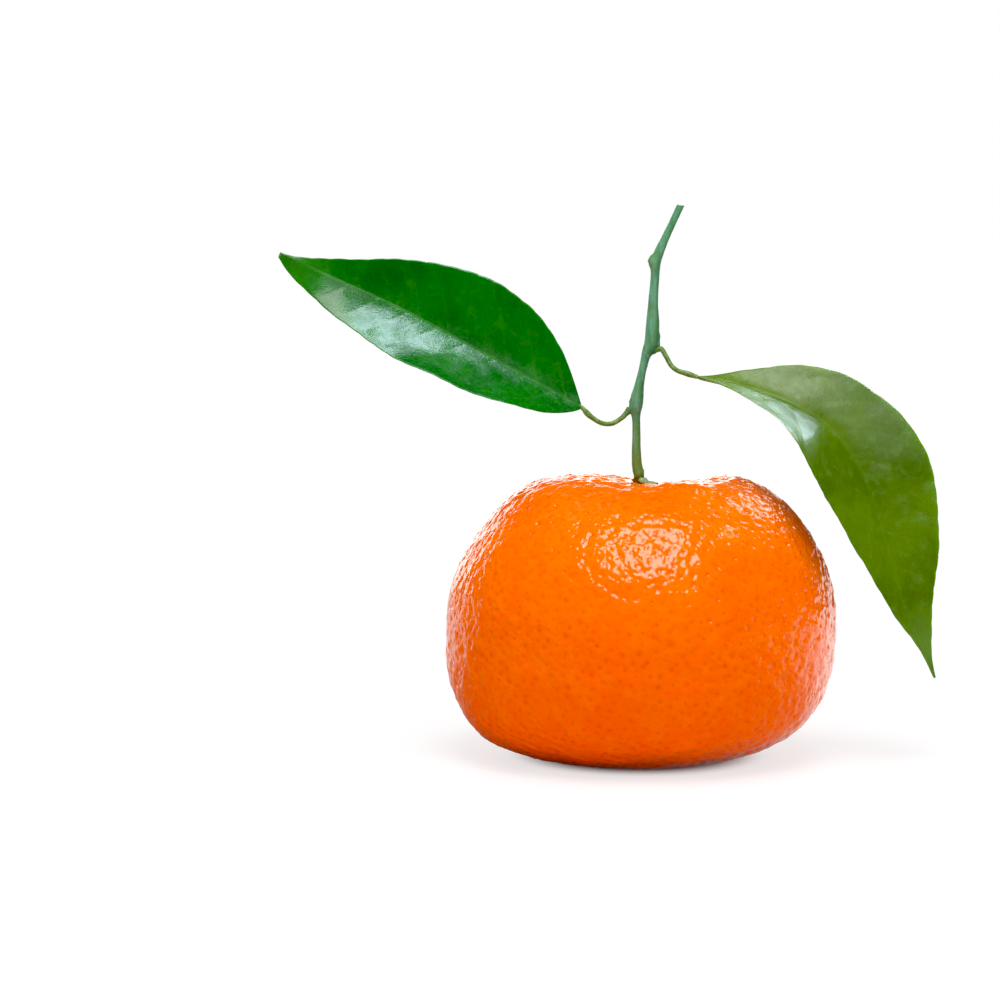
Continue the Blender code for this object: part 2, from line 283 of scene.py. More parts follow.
def gap_from(way, turn):
    """The angle from a way to each turn, between -pi and pi."""
    return (turn - way + math.pi) % (2 * math.pi) - math.pi


def settle(points, plain, node):
    """Moves points as the plain shape has to move for its box to have the CAD node's middle."""
    low, high = plain.min(axis=0), plain.max(axis=0)
    cad_low, cad_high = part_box(node)
    middle = np.array(cad_low + cad_high) / 2 / MM
    return points + middle - (low + high) / 2


def new_piece(name, points, faces, material, marks):
    """A smooth mesh piece from points in millimetres, with marks for its material at each point."""
    mesh = bpy.data.meshes.new(name)
    mesh.from_pydata((points * MM).tolist(), [], faces)
    mesh.validate()
    mesh.shade_smooth()
    for mark, values in marks.items():
        attribute = mesh.attributes.new(mark, "FLOAT", "POINT")
        attribute.data.foreach_set("value", np.asarray(values, np.float32))
    mesh.materials.append(material)
    made = bpy.data.objects.new(name, mesh)
    bpy.context.scene.collection.objects.link(made)
    return made


def point_normals(points, faces):
    """The normal of a surface of quads at each of its points."""
    corners = points[faces]
    normals = np.cross(corners[:, 2] - corners[:, 0], corners[:, 3] - corners[:, 1])
    summed = np.zeros_like(points)
    for corner in range(4):
        np.add.at(summed, faces[:, corner], normals)
    return summed / np.maximum(np.linalg.norm(summed, axis=1, keepdims=True), 1e-12)


def grid_faces(rows, columns, start=0, flip=False, closed=False):
    """Quads of a grid of points that is stored row by row."""
    row, column = np.meshgrid(np.arange(rows - 1), np.arange(columns - (not closed)), indexing="ij")
    after = (column + 1) % columns
    quads = [row * columns + column, row * columns + after]
    quads += [(row + 1) * columns + after, (row + 1) * columns + column]
    faces = start + np.stack([quad.ravel() for quad in quads], axis=1)
    return faces[:, ::-1] if flip else faces


# Fruit


def crown_drop(x, y):
    """How much lower the crown is in the dimple."""
    across = 2 * (x - DIMPLE_SHIFT) / DIMPLE_WIDTH
    share = np.minimum(1, np.hypot(across, 2 * y / DIMPLE_LENGTH))
    return DIMPLE_DEPTH * (1 - share**2) ** 2


def shoulder_rise(x, y, height):
    """How much higher the right shoulder is."""
    across = (x - SHOULDER_REACH) / SHOULDER_SPREAD
    along = y / (1.6 * SHOULDER_SPREAD)
    share = (height - WAIST_HEIGHT) / (FRUIT_HEIGHT - WAIST_HEIGHT)
    return SHOULDER_RISE * share * np.exp(-(across**2 + along**2) / 2)


def rind_profile():
    """(walked share, share of the full radius, height) along the profile, stem to blossom end."""
    flat_share = 2 * REST_SPOT_RADIUS / FRUIT_WIDTH
    half_below = WAIST_HEIGHT / (1 - flat_share**FULLNESS_BELOW) ** (1 / FULLNESS_BELOW)
    lean_in = math.asin(flat_share ** (FULLNESS_BELOW / 2))
    above = np.linspace(0, math.pi / 2, 1001)
    below = np.linspace(math.pi / 2, lean_in, 1001)
    flat = np.linspace(flat_share, 0, 50)[1:]
    share = np.append(np.sin(above) ** (2 / FULLNESS_ABOVE), np.sin(below) ** (2 / FULLNESS_BELOW))
    up = np.cos(above).clip(0) ** (2 / FULLNESS_ABOVE)
    down = np.cos(below).clip(0) ** (2 / FULLNESS_BELOW)
    rise = np.append((FRUIT_HEIGHT - WAIST_HEIGHT) * up, -half_below * down)
    share = np.append(share, flat)
    height = np.append(WAIST_HEIGHT + rise, np.zeros(len(flat)))
    walked = np.append(0, np.cumsum(np.hypot(np.diff(share * FRUIT_WIDTH / 2), np.diff(height))))
    return walked / walked[-1], share, height


PROFILE = rind_profile()


def rind_points(ways):
    """The plain rind's points in the given unit directions, as in the CAD."""
    polar = np.arccos(np.clip(ways[:, 2], -1, 1)) / math.pi
    azimuth = np.arctan2(ways[:, 1], ways[:, 0])
    share = np.interp(polar, PROFILE[0], PROFILE[1])
    height = np.interp(polar, PROFILE[0], PROFILE[2])
    swell = 1 + SEGMENT_SWELL * np.cos(SEGMENT_COUNT * azimuth) * share**2
    x = share * swell * np.cos(azimuth) * FRUIT_WIDTH / 2
    y = share * swell * np.sin(azimuth) * FRUIT_DEPTH / 2
    lift = shoulder_rise(x, y, height) - crown_drop(x, y)
    z = height + np.where(height > WAIST_HEIGHT, lift, 0)
    return np.column_stack([x + LEAN * height, y, z])


def crown_height(x, y):
    """The height of the plain rind at places beside the stem."""
    share = np.hypot(2 * x / FRUIT_WIDTH, 2 * y / FRUIT_DEPTH)
    up = (1 - share**FULLNESS_ABOVE) ** (1 / FULLNESS_ABOVE)
    height = WAIST_HEIGHT + (FRUIT_HEIGHT - WAIST_HEIGHT) * up
    return height + shoulder_rise(x, y, height) - crown_drop(x, y)


def even_ways(count):
    """Unit directions that are spread evenly, and then shaken so that no rows show."""
    index = np.arange(count) + 0.5
    z = 1 - 2 * index / count
    turn = index * math.pi * (3 - math.sqrt(5))
    flat = np.sqrt(1 - z**2)
    ways = np.column_stack([flat * np.cos(turn), flat * np.sin(turn), z])
    ways += random.normal(size=ways.shape) * GLAND_SHAKE * math.sqrt(4 * math.pi / count)
    return ways / np.linalg.norm(ways, axis=1, keepdims=True)


def nearest(places, points):
    """(index, distance) of the nearest place to each point."""
    tree = KDTree(len(places))
    for index, place in enumerate(places.tolist()):
        tree.insert(place, index)
    tree.balance()
    found = [tree.find(point)[1:] for point in points.tolist()]
    return np.array([index for index, _ in found]), np.array([gap for _, gap in found])


def make_fruit(material):
    """A finely divided cube, rounded into the CAD's fruit, with the rind's relief."""
    shape = bmesh.new()
    bmesh.ops.create_cube(shape, size=2)
    bmesh.ops.subdivide_edges(shape, edges=shape.edges, cuts=RIND_CUTS, use_grid_fill=True)
    shape.verts.index_update()
    cube = np.array([vertex.co for vertex in shape.verts])
    faces = np.array([[vertex.index for vertex in face.verts] for face in shape.faces])
    shape.free()
    ways = np.tan(cube * (math.pi / 4))
    ways /= np.linalg.norm(ways, axis=1, keepdims=True)
    plain = rind_points(ways)
    points = plain.copy()
    x, y, z = points.T
    azimuth = np.arctan2(y, x)
    from_stem = np.hypot(x - LEAN * z, y)

    # A fuller heel on the left, and the shallow blossom end inside the ring that it rests on
    leftness = np.clip(-np.cos(azimuth), 0, 1) ** 1.5
    points[:, 0] -= HEEL * leftness * hump(z, 1.5, 5.0) * smoothstep(8, 16, from_stem)
    below = z < WAIST_HEIGHT
    points[:, 2] += np.where(below, BLOSSOM_HOLLOW * (1 - smoothstep(0, 12.5, from_stem)), 0)

    # Fuller and flatter places on the crown, unevenness, and ribs and wrinkles round the stem
    normals = point_normals(points, faces)
    above = smoothstep(WAIST_HEIGHT, WAIST_HEIGHT + 8, z)
    shoulder = LEFT_SHOULDER * hump(x, -18.5, 7.5) - LEFT_CREST * hump(x, -7.5, 3.5)
    crest = FRONT_CREST * hump(x, 6.0, 5.2) * hump(y, -11, 5.6)
    points += normals * ((shoulder * hump(y, 0, 17) + crest) * above)[:, None]
    calm = np.where(z > WAIST_HEIGHT, smoothstep(2.2, 5.0, from_stem), 1)
    calm_base = np.where(below, smoothstep(0.3, 2.5, z), 1)
    out = np.zeros(len(points))
    for height, wavelength, seed in BROAD_WAVES:
        out += height * ripple(points, wavelength, seed) * calm_base
    for height, wavelength, seed in FINE_WAVES:
        out += height * ripple(points, wavelength, seed)
    around = np.column_stack([2.1 * np.cos(azimuth), 2.1 * np.sin(azimuth), from_stem / 1.9])
    stretch = smoothstep(4.5, 8.5, from_stem) * (1 - smoothstep(17, 25, from_stem)) * above
    out += STEM_WRINKLES * ripple(around, 1.6, 5) * stretch
    ribs = np.cos(SEGMENT_COUNT * azimuth + 1.2 * ripple(points, 9, 6))
    out += STEM_RIBS * ribs * hump(from_stem, 6.0, 3.2) * above
    out -= STEM_MOAT * hump(from_stem, 3.2, 1.0) * above

    # Oil glands, each a pit with a rim
    glands = rind_points(even_ways(GLAND_COUNT))
    sizes = random.uniform(0.65, 1.3, len(glands))
    index, gap = nearest(glands, plain)
    size = sizes[index]
    pits = hump(gap, 0, GLAND_RADIUS * size)
    rims = hump(gap, 0.85 * size, 0.30)
    out += (GLAND_RIM * rims - GLAND_DEPTH * size * pits) * (0.35 + 0.65 * calm)
    points += normals * (out * calm)[:, None]

    # A small healed blemish on the front, and the blossom scar below
    way = Vector(BLEMISH_WAY).normalized()
    blemish = np.linalg.norm(points - rind_points(np.array([way]))[0], axis=1)
    points += normals * (0.10 * hump(blemish, 0.75, 0.3) - 0.05 * hump(blemish, 0, 0.5))[:, None]
    blossom = np.where(below, hump(from_stem, 0, 1.3), 0)
    points[:, 2] = np.maximum(points[:, 2] + 0.25 * blossom, 0)
    marks = {
        "gland": gap / size,
        "lowness": 1 - smoothstep(4, 44, z),
        "crown": np.where(z > WAIST_HEIGHT, 1 - smoothstep(2.5, 9, from_stem), 0),
        "blemish": np.where(blemish < 4, blemish, 4),
        "blossom": blossom,
    }
    points = settle(points, plain, "fruit")
    return new_piece("fruit_rind", points, faces.tolist(), material, marks)


# Calyx


def make_calyx(material):
    """A star of five lobes that lies on the crown, with a boss that the twig stands on."""
    rings, spokes = CALYX_RINGS, CALYX_SPOKES
    radius = np.linspace(0, 1, rings)[1:]
    r, a = np.meshgrid(radius, turns(spokes), indexing="ij")
    lobe_turn = (a * 5 / (2 * math.pi) + 0.1) % 1 - 0.5
    lobe = 1 - 0.42 * smoothstep(0.05, 0.5, np.abs(lobe_turn)) ** 0.8
    lobe = 1 + (lobe - 1) * smoothstep(0.35, 0.9, r)
    reach = CALYX_RADIUS * r * lobe
    round_the_rim = np.column_stack([3 * np.cos(a).ravel(), 3 * np.sin(a).ravel(), r.ravel()])
    ragged = 1 + 0.03 * ripple(round_the_rim, 0.6, 8)
    reach = reach * ragged.reshape(r.shape)
    x, y = reach * np.cos(a), reach * np.sin(a)

    ground = crown_height(x, y)
    midline = np.exp(-((lobe_turn / 0.07) ** 2)) * smoothstep(0.25, 0.6, r)
    thickness = CALYX_THICKNESS * (1 - r**6) ** 0.5 * (1 - 0.35 * r)
    from_foot = np.hypot(x + FOOT_SHIFT, y) / CALYX_RADIUS
    boss = CALYX_BOSS * (1 - smoothstep(0.34, 0.60, from_foot)) - 0.10 * hump(from_foot, 0.66, 0.08)
    curl = CALYX_CURL * smoothstep(0.7, 1.0, r) * (1 + 0.5 * np.cos(3 * a + 1))
    grain = 0.035 * ripple(np.column_stack([x.ravel(), y.ravel(), 0 * x.ravel()]), 0.45, 9)
    top = ground + 0.05 + thickness + boss + curl + 0.08 * midline + grain.reshape(r.shape)
    under = ground - 0.12 + curl * 0.9
    under = np.minimum(under, top - 0.02)

    stem_x = LEAN * FRUIT_HEIGHT
    centre = crown_height(np.array(0.0), np.array(0.0))
    upper = np.column_stack([x.ravel() + stem_x, y.ravel(), top.ravel()])
    lower = np.column_stack([x.ravel() + stem_x, y.ravel(), under.ravel()])
    poles = np.array([[stem_x, 0, centre + 1.0], [stem_x, 0, centre - 0.12]])
    points = np.vstack([upper, lower, poles])
    count = len(upper)
    faces = grid_faces(rings - 1, spokes, closed=True, flip=True).tolist()
    faces += grid_faces(rings - 1, spokes, start=count, closed=True).tolist()
    last = (rings - 2) * spokes
    for spoke in range(spokes):
        after = (spoke + 1) % spokes
        faces.append([2 * count, spoke, after])
        faces.append([2 * count + 1, count + after, count + spoke])
        faces.append([last + spoke, count + last + spoke, count + last + after, last + after])
    middle = np.mean(np.array(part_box("calyx")), axis=0) / MM
    points[:, :2] += middle[:2] - [stem_x, 0]
    marks = {
        "reach": np.concatenate([r.ravel(), r.ravel(), [0, 0]]),
        "rib": np.concatenate([midline.ravel(), 0 * midline.ravel(), [0, 0]]),
    }
    return new_piece("calyx_star", points, faces, material, marks)


# Tubes


def transported(route, first):
    """A route's directions, and two sideways directions at each station, without twist."""
    ways = directions(route)
    side = np.array(first, float)
    sides = []
    for way in ways:
        side = side - way * (side @ way)
        side /= np.linalg.norm(side)
        sides.append(side)
    sides = np.array(sides)
    return ways, sides, np.cross(ways, sides)


def tube(route, radii, first):
    """Rings of points round a route, from a radius for each station and side, and its ways."""
    ways, side, other = transported(route, first)
    turn = turns(radii.shape[1])[None, :, None]
    ring = side[:, None] * np.cos(turn) + other[:, None] * np.sin(turn)
    return route[:, None] + ring * radii[:, :, None], ways


def outwards_from(route, points):
    """The unit direction from the route to each point of its rings, one row for each point."""
    outwards = (points - route[:, None]).reshape(-1, 3)
    return outwards / np.linalg.norm(outwards, axis=1, keepdims=True)


def cap_faces(ring_start, centre, sides, flip):
    """Triangles from a ring of points to a point at its middle."""
    faces = []
    for side in range(sides):
        after = (side + 1) % sides
        face = [centre, ring_start + side, ring_start + after]
        faces.append(face[::-1] if flip else face)
    return faces


def make_twig(material):
    """The CAD's twig with its nodes and scars, from inside the calyx to the picked end."""
    given = [[*place, radius] for place, radius in TWIG_ROUTE]
    found = smooth_route(given, TWIG_STATIONS)
    route, radius = found[:, :3], found[:, 3]
    plain_points, _ = tube(route, radius[:, None] * np.ones(TWIG_SIDES), (1, 0, 0))
    route = route - np.array([FOOT_SHIFT, 0, 0]) * (1 - smoothstep(0, 2.4, route[:, 2]))[:, None]
    length = np.sum(np.linalg.norm(np.diff(route, axis=0), axis=1))
    walked = np.linspace(0, length, TWIG_STATIONS)
    turn = turns(TWIG_SIDES)
    twist = 0.018 * walked[:, None]
    angular = 1 + 0.055 * np.cos(3 * (turn + twist)) + 0.03 * np.cos(5 * (turn - twist) + 1)
    radii = radius[:, None] * angular

    def swelling(share, towards, height, spread, width):
        """A bump at a share of the length that faces a way in degrees from +X."""
        gap = gap_from(math.radians(towards), turn)
        return height * hump(walked, share * length, spread)[:, None] * hump(gap, 0, width)

    for values in TWIG_SWELLINGS:
        radii += swelling(*values)
    radii += FOOT_FLARE * np.exp(-walked / 0.6)[:, None]
    points, ways = tube(route, radii, (1, 0, 0))
    flat = points.reshape(-1, 3)
    rough = ripple(flat * [1, 1, 0.35], 0.7, 11) * 0.022 + ripple(flat, 0.35, 12) * 0.010
    flat = flat + outwards_from(route, points) * rough[:, None]
    points = flat.reshape(points.shape)

    # The picked end: cut at a slant, with bark, wood and pith
    end = points[-1]
    middle = route[-1]
    slant = (end - middle) @ transported(route, (1, 0, 0))[1][-1]
    end = end + ways[-1] * (0.35 * slant)[:, None]
    points[-1] = end
    wood = middle + (end - middle) * 0.82 + ways[-1] * 0.03
    pith = middle + (end - middle) * 0.45 + ways[-1] * 0.02
    foot = points[0] + [0, 0, -FOOT_DEPTH]
    foot[:, 2] = foot[:, 2].min()
    rings = np.stack([foot, *points, wood, pith])
    count = len(rings)
    flat = np.vstack([rings.reshape(-1, 3), foot.mean(axis=0), middle[None] + ways[-1] * 0.02])
    faces = grid_faces(count, TWIG_SIDES, closed=True).tolist()
    faces += cap_faces(0, count * TWIG_SIDES, TWIG_SIDES, True)
    faces += cap_faces((count - 1) * TWIG_SIDES, count * TWIG_SIDES + 1, TWIG_SIDES, False)
    share = np.concatenate([[0], walked / length, [1, 1]])
    along = np.append(np.repeat(share, TWIG_SIDES), [0, 1])
    cut = np.concatenate([np.zeros(count - 2), [0.7, 1.0]])
    cut = np.append(np.repeat(cut, TWIG_SIDES), [0, 1.3])
    scar = np.zeros((count, TWIG_SIDES))
    scar[1:-2] = swelling(0.772, 180, 1, 0.55, 0.55)
    scar[1:-2] += swelling(0.25, 180, 0.35, 0.5, 0.6) + swelling(0.487, 0, 0.35, 0.5, 0.6)
    scar = np.append(scar.ravel(), [0, 0])
    # Painted shade: one side of the twig is made darker, as though shade falls on it
    painted_shade = np.append(np.tile(hump(gap_from(PAINTED_SHADE_WAY, turn), 0, 0.75), count), [0, 0])
    plain = plain_points.reshape(-1, 3)
    marks = {"along": along, "cut": cut, "scar": scar, "painted_shade": painted_shade}
    flat = settle(flat, np.vstack([plain, plain[:TWIG_SIDES] - [0, 0, 0.3]]), "twig")
    return new_piece("twig_bark", flat, faces, material, marks)


def make_petiole(node, steps, material):
    """A leaf's stalk, from inside the twig's skin to inside the blade's base."""
    sides, blade = PETIOLE_SIDES, PETIOLE_IN_BLADE
    route = smooth_route(steps, PETIOLE_STATIONS)
    plain_radii = PETIOLE_RADIUS * (1 + PETIOLE_FLARE * np.linspace(-1, 1, len(route)) ** 6)
    plain, _ = tube(route, plain_radii[:, None] * np.ones(sides), (0, 0, 1))
    ways = directions(route)
    start = route[0] - ways[0] * np.linspace(PETIOLE_IN_TWIG, 0.05, 10)[:, None]
    end = route[-1] + ways[-1] * np.linspace(0.05, blade, 12)[:, None]
    route = np.vstack([start, route, end])
    stations = len(route)
    steps_walked = np.linalg.norm(np.diff(route, axis=0), axis=1)
    walked = np.append(0, np.cumsum(steps_walked))
    length = walked[-1]
    turn = turns(sides)
    radius = PETIOLE_RADIUS * (0.97 + 0.75 * np.exp(-walked / 0.75))
    radius += 0.10 * hump(walked, length - blade - 1.0, 0.9)
    radius -= 0.05 * hump(walked, length - blade - 0.1, 0.25)
    radius *= 1 - 0.75 * smoothstep(length - blade, length, walked)
    groove = 1 - 0.16 * hump(turn, 0, 0.5) - 0.16 * hump(turn, 2 * math.pi, 0.5)
    radii = radius[:, None] * (groove + 0.04 * np.cos(4 * turn))
    points, _ = tube(route, radii, (0, 0, 1))
    flat = points.reshape(-1, 3)
    flat = flat + outwards_from(route, points) * (0.015 * ripple(flat, 0.6, 13))[:, None]
    flat = np.vstack([flat, route[0], route[-1]])
    faces = grid_faces(stations, sides, closed=True).tolist()
    faces += cap_faces(0, stations * sides, sides, True)
    faces += cap_faces((stations - 1) * sides, stations * sides + 1, sides, False)
    along = np.append(np.repeat(walked / length, sides), [0, 1])
    grooved = np.tile(hump(turn, 0, 0.6) + hump(turn, 2 * math.pi, 0.6), stations)
    marks = {"along": along, "groove": np.append(grooved, [0, 0])}
    flat = settle(flat, plain.reshape(-1, 3), node)
    return new_piece(node + "_skin", flat, faces, material, marks)


# Leaves


def leaf_width_share(share, base_taper, tip_taper):
    """The width of half a blade at a share of its length, as a share of its widest."""
    widest = base_taper / (base_taper + tip_taper)
    peak = widest**base_taper * (1 - widest) ** tip_taper
    return share**base_taper * (1 - share) ** tip_taper / peak


def leaf_frames(leaf, stations):
    """(midrib points, sideways directions, upward directions) at each station of a blade."""
    midrib = smooth_route(np.array(leaf["route"]) * leaf["length"], stations + 1)
    rolls = np.interp(np.linspace(0, 2, stations + 1), (0, 1, 2), leaf["roll"])
    side = np.array(leaf["side"], float)
    sides, ups = [], []
    for direction, roll in zip(directions(midrib), np.radians(rolls)):
        side = side - direction * (side @ direction)
        side /= np.linalg.norm(side)
        up = np.cross(direction, side)
        sides.append(side * math.cos(roll) + up * math.sin(roll))
        ups.append(up * math.cos(roll) - side * math.sin(roll))
    return midrib, np.array(sides), np.array(ups)


def make_leaf(node, leaf, material, seed):
    """A blade with two skins and its veins. Its first half is the one that its side points to."""
    share = np.linspace(0, 1, LEAF_STATIONS + 1)
    across = np.linspace(-1, 1, LEAF_STRIPS + 1)
    midrib, sides, ups = leaf_frames(leaf, LEAF_STATIONS)
    length = leaf["length"]
    s, a = np.meshgrid(share, across, indexing="ij")
    first = a > 0

    def of_half(key):
        return np.where(first, leaf["halves"][0][key], leaf["halves"][1][key])

    width = np.empty_like(s)
    for half, chosen in zip(leaf["halves"], (first, ~first)):
        width[chosen] = leaf_width_share(s[chosen], half["base_taper"], half["tip_taper"])
    plain_reach = a * (width * of_half("width") + LEAF_TIP_WIDTH / 2)
    scallop = np.abs(np.sin(s * length / 2.9 * math.pi + np.where(first, 0.7, 0)))
    along_margin = np.column_stack([s.ravel() * length, 9.0 * first.ravel(), 0 * s.ravel()])
    wander = ripple(along_margin, 9, seed)
    margin = MARGIN_SCALLOP * scallop + MARGIN_WANDER * wander.reshape(s.shape)
    margin = margin * smoothstep(0.03, 0.15, s) * (1 - smoothstep(0.9, 1.0, s))
    reach = plain_reach + a * (margin - 0.08)

    def surface(reach, finer):
        """The blade's middle surface, with (1) or without (0) the turn that the CAD leaves out."""
        turned = finer * leaf["turned"] * (0.3 - smoothstep(0.38, 0.60, s)) * first
        lift = np.radians(of_half("fold") + leaf["cup"] * np.abs(a) + turned)
        rise = np.sqrt(reach**2 + 0.9**2) - 0.9
        base = midrib[:, None] + sides[:, None] * (reach * np.cos(lift))[:, :, None]
        return base + ups[:, None] * (rise * np.sin(lift))[:, :, None]

    plain = surface(plain_reach, 0).reshape(-1, 3)
    sheet = surface(reach, 1).reshape(-1, 3)
    faces = grid_faces(LEAF_STATIONS + 1, LEAF_STRIPS + 1)
    normals = point_normals(sheet, faces)
    middle = (LEAF_STATIONS + 1) * (LEAF_STRIPS + 1) // 2
    if normals[middle] @ ups[LEAF_STATIONS // 2] < 0:
        normals = -normals
        faces = faces[:, ::-1]

    # Veins: each leaves the midrib at an angle and bends towards the tip near the margin
    off = np.abs(reach)
    edge = np.abs(a)
    spacing = 0.88 / leaf["vein_pairs"]
    flat_blade = np.column_stack([s.ravel() * length, reach.ravel(), 0 * s.ravel()])
    wobble = 0.35 * ripple(flat_blade, 8, seed + 1)
    lean = (0.62 * off + 2.6 * edge**3 * width + wobble.reshape(s.shape) * edge) / length
    from_rib = (s - lean - 0.05 - np.where(first, 0.5 * spacing, 0.1 * spacing)) / spacing
    phase = from_rib - np.round(from_rib)
    gap = np.abs(phase) * spacing * length * 0.8
    fade = (1 - smoothstep(0.72, 0.97, edge)) * smoothstep(0.01, 0.05, s)
    fade = fade * (1 - smoothstep(0.9, 0.97, s))
    vein = hump(gap, 0, 0.26) * fade
    half_phase = np.abs(np.abs(phase) - 0.5) * spacing * length * 0.8
    lesser = 0.4 * hump(half_phase, 0, 0.2) * fade * (1 - smoothstep(0.35, 0.7, edge))
    vein = np.maximum(vein, lesser)
    quilt = np.cos(phase * 2 * math.pi) * smoothstep(0.04, 0.3, edge)
    quilt = quilt * (1 - smoothstep(0.75, 1, edge))
    taper = 1 - 0.6 * s
    rib = hump(off, 0, 0.42 * taper + 0.05)
    bumps = ripple(sheet, 5.5, seed + 2).reshape(s.shape)
    wave = ripple(sheet, 20, seed + 3).reshape(s.shape)
    shared = 0.06 * bumps * smoothstep(0.03, 0.3, edge)
    shared += 0.45 * wave * edge**2 * smoothstep(0.05, 0.25, s)
    shared -= 0.022 * quilt * smoothstep(0.0, 0.1, width)
    dome = leaf["dome"] * (np.cos(math.pi * (s - 0.4)) - 0.6)
    shared += dome * edge * first * smoothstep(0.0, 0.12, s)
    upper = shared - 0.022 * vein - 0.12 * rib * taper
    under = shared - 0.035 * vein - 0.42 * rib * taper - 0.05 * hump(off, 0, 1.0)
    round_edge = np.sqrt(np.clip(1 - edge**10, 0, 1))
    round_edge = round_edge * np.sqrt(np.clip(1 - (2 * s - 1) ** 60, 0, 1))
    half_thick = (BLADE_THICKNESS / 2 - 0.05 * edge) * round_edge
    top = sheet + normals * (upper + half_thick).reshape(-1, 1)
    bottom = sheet + normals * (under - half_thick).reshape(-1, 1)
    bottom = np.where(((1 - round_edge) > 0.999).reshape(-1, 1), top, bottom)

    # Both skins, stitched together all round
    rows, columns = LEAF_STATIONS + 1, LEAF_STRIPS + 1
    index = np.arange(rows * columns).reshape(rows, columns)
    rim = np.concatenate([index[0, :-1], index[:-1, -1], index[-1, :0:-1], index[:0:-1, 0]])
    inside = np.ones(rows * columns, bool)
    inside[rim] = False
    lower_number = np.where(inside, np.cumsum(inside) - 1 + rows * columns, index.ravel())
    points = np.vstack([top, bottom[inside]])
    all_faces = faces.tolist() + lower_number[faces[:, ::-1]].tolist()

    values = {"vein": vein, "rib": rib, "along": s, "edge": edge}
    marks = {mark: np.append(value, value.ravel()[inside]) for mark, value in values.items()}
    marks["underside"] = np.repeat([0, 1], [len(top), np.sum(inside)])
    points = settle(points, plain, node)
    return new_piece(node + "_blade", points, all_faces, material, marks)


# Materials


class Nodes:
    """A tree of shader nodes. Each call adds a node and gives the output that is used of it."""

    def __init__(self, tree, place):
        self.tree = tree
        self.place = self.add("TexCoord", output=place)

    def add(self, kind, inputs=None, output=0, **settings):
        made = self.tree.nodes.new("ShaderNode" + kind)
        for name, value in settings.items():
            setattr(made, name, value)
        for key, value in (inputs or {}).items():
            self.set(made.inputs[key], value)
        return made.outputs[output]

    def set(self, socket, value):
        if isinstance(value, bpy.types.NodeSocket):
            self.tree.links.new(value, socket)
        else:
            socket.default_value = value

    def mark(self, name):
        return self.add("Attribute", output="Fac", attribute_name=name)

    def noise(self, size, detail=2.0, rough=0.5, place=None):
        """Noise whose features are about size metres across."""
        inputs = {"Vector": place or self.place, "Scale": 1 / size}
        inputs.update({"Detail": detail, "Roughness": rough})
        return self.add("TexNoise", inputs)

    def cells(self, size, feature="F1", place=None):
        inputs = {"Vector": place or self.place, "Scale": 1 / size}
        return self.add("TexVoronoi", inputs, feature=feature)

    def stretched(self, scale):
        return self.add("Mapping", {"Vector": self.place, "Scale": scale})

    def between(self, value, low, high, to_low=0.0, to_high=1.0):
        """Carries low..high smoothly to to_low..to_high."""
        inputs = {"Value": value, "From Min": low, "From Max": high}
        inputs.update({"To Min": to_low, "To Max": to_high})
        return self.add("MapRange", inputs, interpolation_type="SMOOTHSTEP")

    def calc(self, operation, *values):
        return self.add("Math", dict(enumerate(values)), operation=operation)

    def parts(self, vector):
        """A vector's X, Y and Z."""
        outputs = self.add("SeparateXYZ", {0: vector}).node.outputs
        return outputs["X"], outputs["Y"], outputs["Z"]

    def split(self, ray, others, these):
        """The shader these for one kind of ray, and others for the rest."""
        return self.add("MixShader", {0: self.add("LightPath", output=ray), 1: others, 2: these})

    def mix(self, share, a, b):
        """A share of colour b over colour a."""
        a = (*a, 1) if isinstance(a, tuple) else a
        b = (*b, 1) if isinstance(b, tuple) else b
        return self.add("Mix", {0: share, 6: a, 7: b}, output=2, data_type="RGBA")

    def bump(self, height, distance, before=None):
        """The normal of a relief of distance metres, on top of the one before."""
        inputs = {"Height": height, "Distance": distance}
        if before:
            inputs["Normal"] = before
        return self.add("Bump", inputs)


class Shader(Nodes):
    """A new material's nodes, round its Principled node."""

    def __init__(self, name):
        self.material = bpy.data.materials.new(name)
        self.material.use_nodes = True
        super().__init__(self.material.node_tree, "Object")
        self.skin = self.tree.nodes["Principled BSDF"]

    def finish(self, **inputs):
        """Sets the Principled node's inputs and gives the material."""
        for name, value in inputs.items():
            self.set(self.skin.inputs[name.replace("_", " ")], value)
        return self.material


